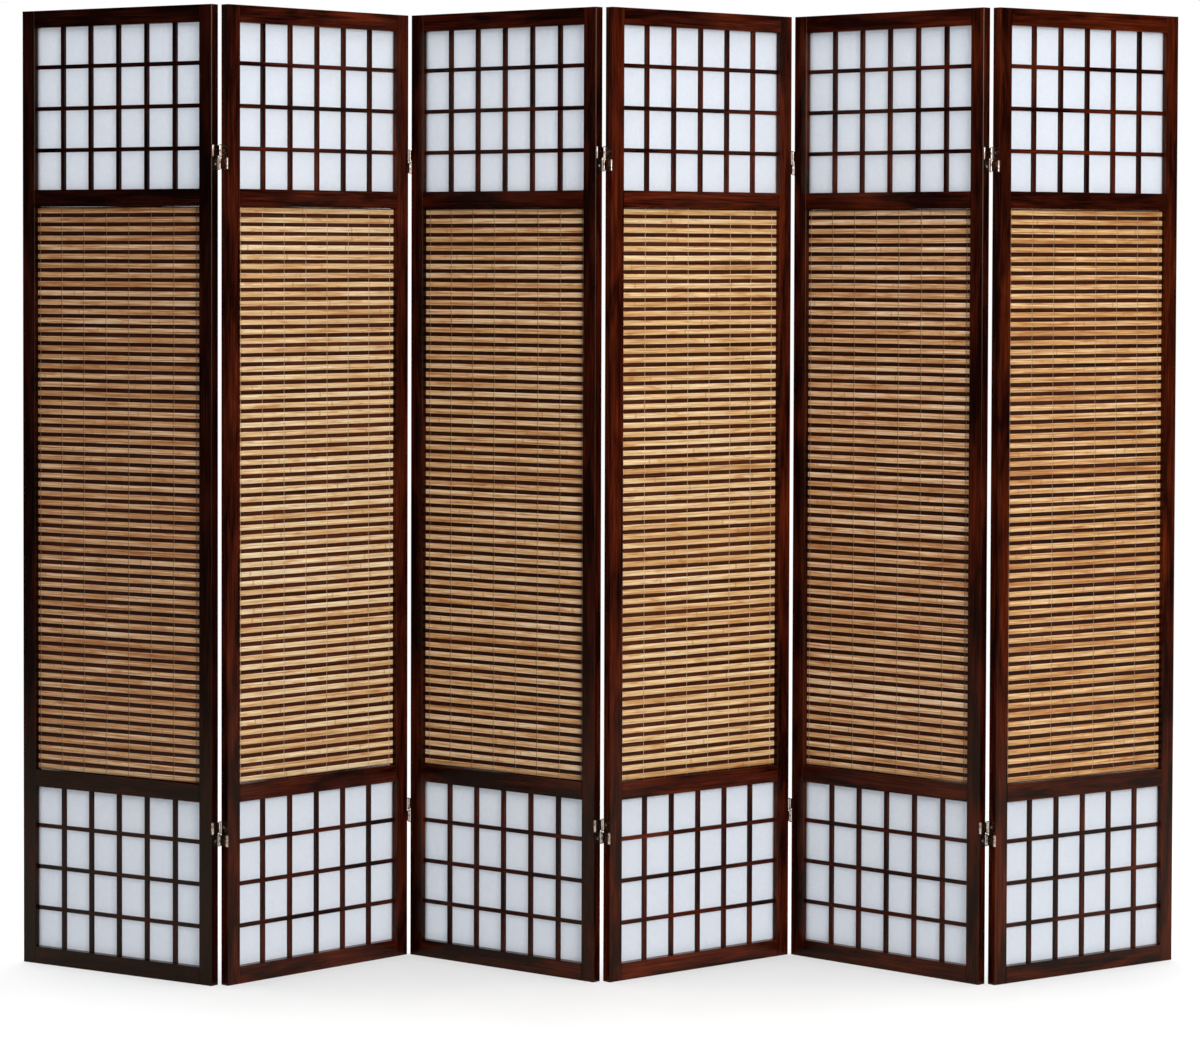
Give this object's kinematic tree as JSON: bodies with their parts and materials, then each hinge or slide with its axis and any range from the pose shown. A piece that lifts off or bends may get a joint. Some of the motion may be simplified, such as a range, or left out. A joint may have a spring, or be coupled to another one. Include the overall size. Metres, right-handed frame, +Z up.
{
  "type": "folding room divider",
  "caption": "Free-standing folding screen: dark wood panels with shoji lattices above and below a woven bamboo mat, joined edge to edge by double-acting hinges.",
  "frame": {"origin": "on the floor, at the centre of the bounding box's underside", "axes": "+X along the row of panels, +Y from the viewer's side to the far side, +Z up"},
  "size_m": [2.127, 0.356, 1.75],
  "materials": {
    "frame_wood": "dark stained, satin lacquer",
    "lattice_wood": "dark stained, satin",
    "paper": "matt fibre paper",
    "natural_bamboo": "natural, satin",
    "stained_bamboo": "dark stained, satin",
    "bronze": "antique bronze"
  },
  "bodies": {
    "panel_1": {"panel_1_left_stile": "frame_wood", "panel_1_right_stile": "frame_wood", "panel_1_rails": "frame_wood", "panel_1_lattice_uprights": "lattice_wood", "panel_1_lattice_crossbars": "lattice_wood", "panel_1_paper": "paper", "panel_1_natural_slats": "natural_bamboo", "panel_1_stained_slats": "stained_bamboo", "panel_1_hinge_leaves": "bronze", "panel_1_hinge_links": "bronze"},
    "panel_2": {"panel_2_left_stile": "frame_wood", "panel_2_right_stile": "frame_wood", "panel_2_rails": "frame_wood", "panel_2_lattice_uprights": "lattice_wood", "panel_2_lattice_crossbars": "lattice_wood", "panel_2_paper": "paper", "panel_2_natural_slats": "natural_bamboo", "panel_2_stained_slats": "stained_bamboo", "panel_2_hinge_leaves": "bronze", "panel_2_hinge_links": "bronze"},
    "panel_3": {"panel_3_left_stile": "frame_wood", "panel_3_right_stile": "frame_wood", "panel_3_rails": "frame_wood", "panel_3_lattice_uprights": "lattice_wood", "panel_3_lattice_crossbars": "lattice_wood", "panel_3_paper": "paper", "panel_3_natural_slats": "natural_bamboo", "panel_3_stained_slats": "stained_bamboo", "panel_3_hinge_leaves": "bronze", "panel_3_hinge_links": "bronze"},
    "panel_4": {"panel_4_left_stile": "frame_wood", "panel_4_right_stile": "frame_wood", "panel_4_rails": "frame_wood", "panel_4_lattice_uprights": "lattice_wood", "panel_4_lattice_crossbars": "lattice_wood", "panel_4_paper": "paper", "panel_4_natural_slats": "natural_bamboo", "panel_4_stained_slats": "stained_bamboo", "panel_4_hinge_leaves": "bronze", "panel_4_hinge_links": "bronze"},
    "panel_5": {"panel_5_left_stile": "frame_wood", "panel_5_right_stile": "frame_wood", "panel_5_rails": "frame_wood", "panel_5_lattice_uprights": "lattice_wood", "panel_5_lattice_crossbars": "lattice_wood", "panel_5_paper": "paper", "panel_5_natural_slats": "natural_bamboo", "panel_5_stained_slats": "stained_bamboo", "panel_5_hinge_leaves": "bronze", "panel_5_hinge_links": "bronze"},
    "panel_6": {"panel_6_left_stile": "frame_wood", "panel_6_right_stile": "frame_wood", "panel_6_rails": "frame_wood", "panel_6_lattice_uprights": "lattice_wood", "panel_6_lattice_crossbars": "lattice_wood", "panel_6_paper": "paper", "panel_6_natural_slats": "natural_bamboo", "panel_6_stained_slats": "stained_bamboo", "panel_6_hinge_leaves": "bronze", "panel_6_hinge_links": "bronze"}
  },
  "joints": [
    {"name": "fold_1", "type": "hinge", "parent": "panel_1", "child": "panel_2", "pos_m": [-0.68009, -0.15865, 0.875], "axis": [0, 0, -1], "range_deg": [-101.3, 78.7]},
    {"name": "fold_2", "type": "hinge", "parent": "panel_2", "child": "panel_3", "pos_m": [-0.35724, 0.14912, 0.875], "axis": [0, 0, 1], "range_deg": [-95.1, 84.9]},
    {"name": "fold_3", "type": "hinge", "parent": "panel_3", "child": "panel_4", "pos_m": [0.00302, -0.11388, 0.875], "axis": [0, 0, -1], "range_deg": [-100.8, 79.2]},
    {"name": "fold_4", "type": "hinge", "parent": "panel_4", "child": "panel_5", "pos_m": [0.35485, 0.16031, 0.875], "axis": [0, 0, 1], "range_deg": [-96.5, 83.5]},
    {"name": "fold_5", "type": "hinge", "parent": "panel_5", "child": "panel_6", "pos_m": [0.69438, -0.12896, 0.875], "axis": [0, 0, -1], "range_deg": [-101, 79]}
  ]
}
